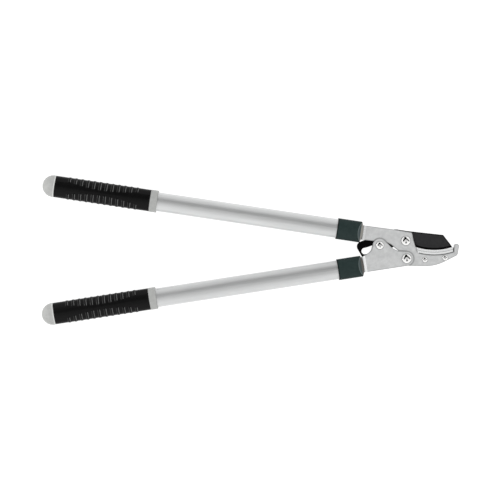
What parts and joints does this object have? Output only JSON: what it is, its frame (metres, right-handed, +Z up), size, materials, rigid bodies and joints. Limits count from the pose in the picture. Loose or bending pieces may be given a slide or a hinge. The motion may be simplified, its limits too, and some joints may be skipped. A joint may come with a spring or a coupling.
{
  "type": "anvil lopper",
  "caption": "Long-handled anvil lopper with oval-tube handles, ribbed grips, a Z-shaped anvil jaw and a cam-slot blade that the lever handle drives through a compound linkage.",
  "frame": {"origin": "on the blade pivot's axis, on the underside of the blade pivot's nut, which is in the plane that the closed lopper lies on", "axes": "+X from the handles to the cutting head, +Y across to the anvil handle's side, +Z up from the rest plane"},
  "size_m": [0.6981, 0.2502, 0.027],
  "materials": {
    "anodised_tube": "satin anodised",
    "grey_plastic": "fine moulded",
    "grip_rubber": "soft moulded",
    "collar_plastic": "moulded",
    "plug_plastic": "moulded",
    "plate_steel": "satin plated",
    "blade_coating": "non-stick coating",
    "anvil_metal": "satin",
    "bolt_steel": "bright plated",
    "hidden_steel": "plain"
  },
  "bodies": {
    "anvil_handle": {"upper_tube": "anodised_tube", "upper_end_cap": "grey_plastic", "upper_grip_sleeve": "grip_rubber", "upper_grip_ring": "grey_plastic", "upper_collar": "collar_plastic", "upper_tang_plug": "plug_plastic", "upper_tang_rivets": "hidden_steel", "jaw_plate_front": "plate_steel", "jaw_plate_back": "plate_steel", "anvil_insert": "anvil_metal", "anvil_screws": "bolt_steel", "anvil_nuts": "bolt_steel", "blade_pivot_bolt": "bolt_steel", "blade_pivot_nut": "bolt_steel", "blade_washers": "hidden_steel", "nut_washers_jaw": "bolt_steel", "lever_pivot_spacer": "hidden_steel"},
    "lever_handle": {"lower_tube": "anodised_tube", "lower_end_cap": "grey_plastic", "lower_grip_sleeve": "grip_rubber", "lower_grip_ring": "grey_plastic", "lower_collar": "collar_plastic", "lower_tang_plug": "plug_plastic", "lower_tang_rivets": "hidden_steel", "lever_plate_front": "plate_steel", "lever_plate_back": "plate_steel", "lever_pivot_bolt": "bolt_steel", "lever_pivot_nut": "bolt_steel", "lever_washers": "hidden_steel", "drive_bolt": "bolt_steel", "drive_nut": "bolt_steel", "drive_bush": "hidden_steel", "nut_washers_lever": "bolt_steel"},
    "blade": {"blade": "blade_coating"}
  },
  "joints": [
    {"name": "lever_swing", "type": "hinge", "parent": "anvil_handle", "child": "lever_handle", "pos_m": [0.0012, -0.0298, 0], "axis": [0, 0, 1], "range_deg": [0, 60]},
    {"name": "blade_swing", "type": "hinge", "parent": "anvil_handle", "child": "blade", "pos_m": [0, 0, 0], "axis": [0, 0, 1], "range_deg": [0, 40.8]}
  ],
  "couplings": [
    {"joint": "blade_swing", "follows": "lever_swing", "ratio": 0.68}
  ]
}
